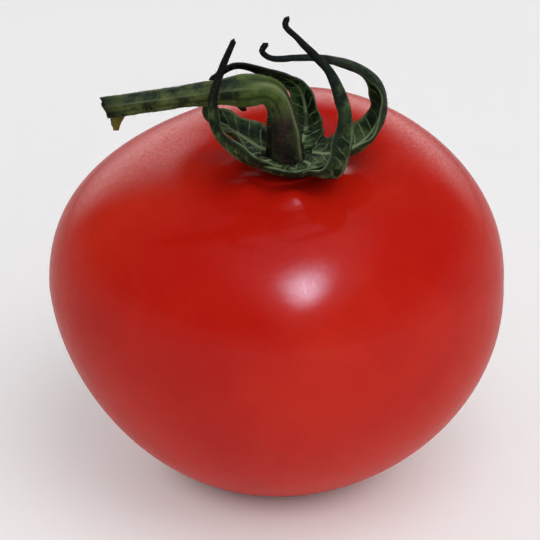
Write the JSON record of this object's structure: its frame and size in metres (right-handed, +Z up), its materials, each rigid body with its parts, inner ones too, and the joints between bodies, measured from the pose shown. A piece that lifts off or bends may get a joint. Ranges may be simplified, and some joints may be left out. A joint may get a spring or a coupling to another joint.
{
  "type": "tomato",
  "caption": "Ripe round tomato with its calyx of curled sepals and a bent piece of stalk, standing on a small flat spot.",
  "frame": {"origin": "centre of the small flat spot under the fruit, on the surface that it rests on", "axes": "+Z up through the fruit, -X the way the stalk points, -Y the front"},
  "size_m": [0.07, 0.07, 0.0775],
  "materials": {
    "skin": "smooth waxy red skin with a soft gloss",
    "sepal": "dull dark green leaf with pale veins and dry dark tips",
    "stalk": "dull olive green, ridged and downy"
  },
  "bodies": {
    "root": {"fruit": "skin", "calyx": "sepal", "stalk": "stalk"}
  },
  "joints": []
}
